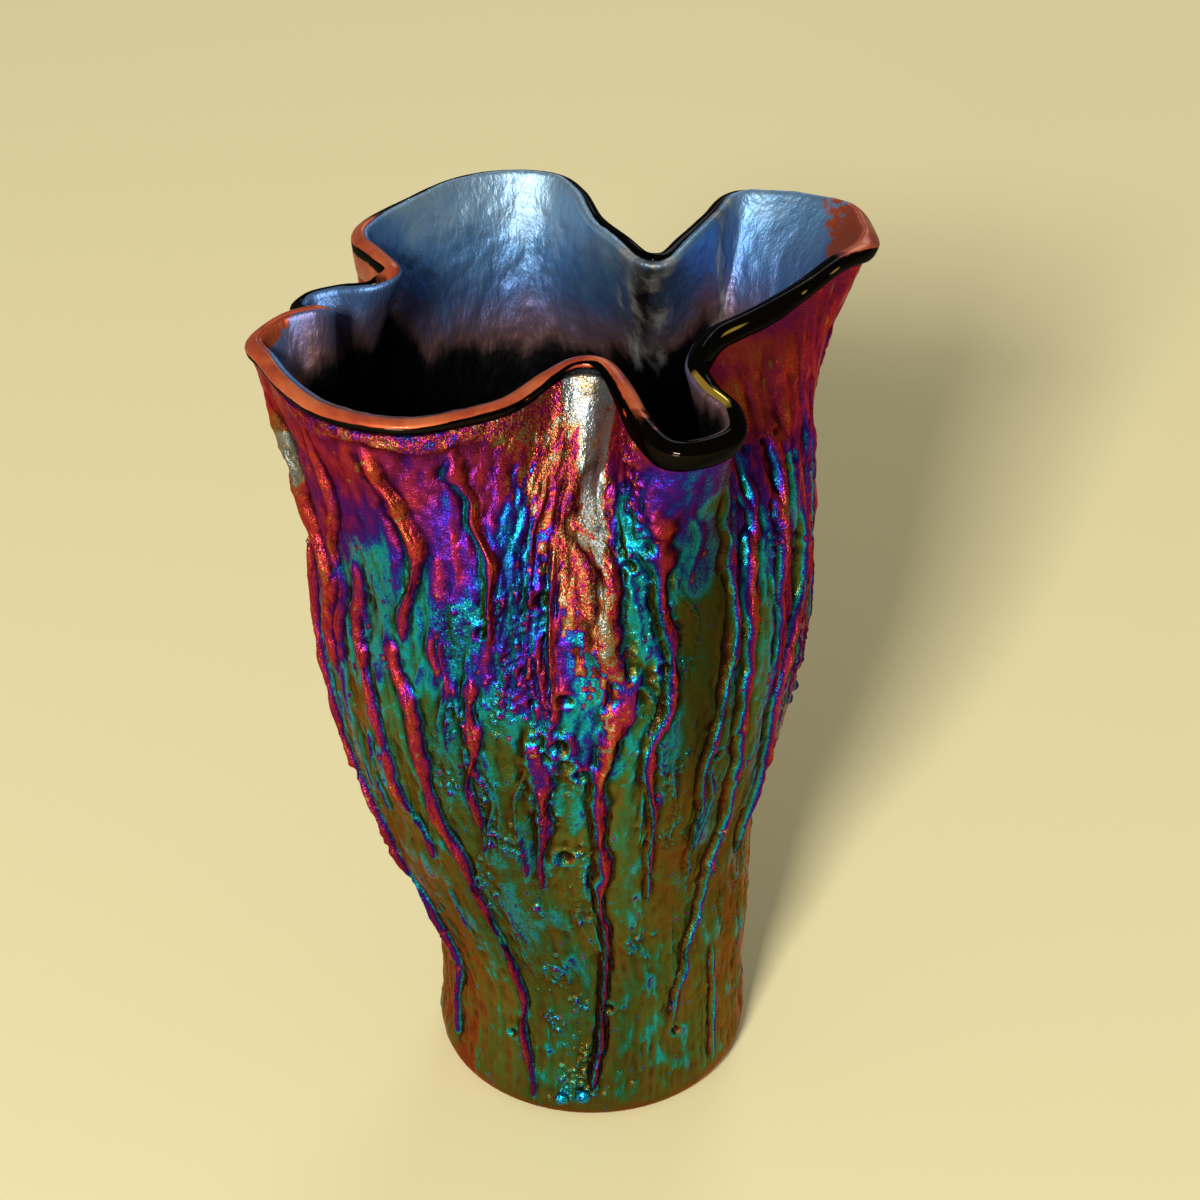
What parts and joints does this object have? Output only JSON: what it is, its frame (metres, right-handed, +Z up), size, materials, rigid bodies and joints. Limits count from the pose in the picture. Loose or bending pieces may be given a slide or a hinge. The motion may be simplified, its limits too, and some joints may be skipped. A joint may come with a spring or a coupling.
{
  "type": "art glass vase",
  "caption": "Hand blown iridescent art glass vase with a bark-textured body, a waisted foot and a ruffled, lobed rim, for holding flowers or for display.",
  "frame": {"origin": "middle of the foot, on the plane it stands on", "axes": "+Z up towards the rim, +X to the raised lobe's side, -Y to the front, where the front fold is"},
  "size_m": [0.1691, 0.1518, 0.2576],
  "materials": {
    "casing_glass": "iridescent olive, gold, teal and violet lustre over a bark texture",
    "core_glass": "silver-blue brushed lustre over dark glass",
    "lip_glass": "fire-polished, black with an orange-copper lustre",
    "trail_glass": "iridescent red and magenta lustre with blue flanks",
    "prunt_glass": "glossy dark blue and violet lustre"
  },
  "bodies": {
    "root": {"outer_casing": "casing_glass", "core_gather": "core_glass", "lip_wrap": "lip_glass", "crest_ridge": "trail_glass", "rope_ridge": "trail_glass", "bark_ridge_01": "trail_glass", "bark_ridge_02": "trail_glass", "bark_ridge_03": "trail_glass", "bark_ridge_04": "trail_glass", "bark_ridge_05": "trail_glass", "bark_ridge_06": "trail_glass", "bark_ridge_07": "trail_glass", "bark_ridge_08": "trail_glass", "bark_ridge_09": "trail_glass", "bark_ridge_10": "trail_glass", "bark_ridge_11": "trail_glass", "bark_ridge_12": "trail_glass", "bark_ridge_13": "trail_glass", "bark_ridge_14": "trail_glass", "bark_ridge_15": "trail_glass", "bark_ridge_16": "trail_glass", "bark_ridge_17": "trail_glass", "bark_ridge_18": "trail_glass", "bark_ridge_19": "trail_glass", "bark_ridge_20": "trail_glass", "bark_ridge_21": "trail_glass", "bark_ridge_22": "trail_glass", "bark_ridge_23": "trail_glass", "bark_ridge_24": "trail_glass", "bark_ridge_25": "trail_glass", "lobe_drop_left": "prunt_glass", "lobe_drop_right": "prunt_glass", "foot_prunt_left": "prunt_glass", "foot_prunt_right": "prunt_glass"}
  },
  "joints": []
}
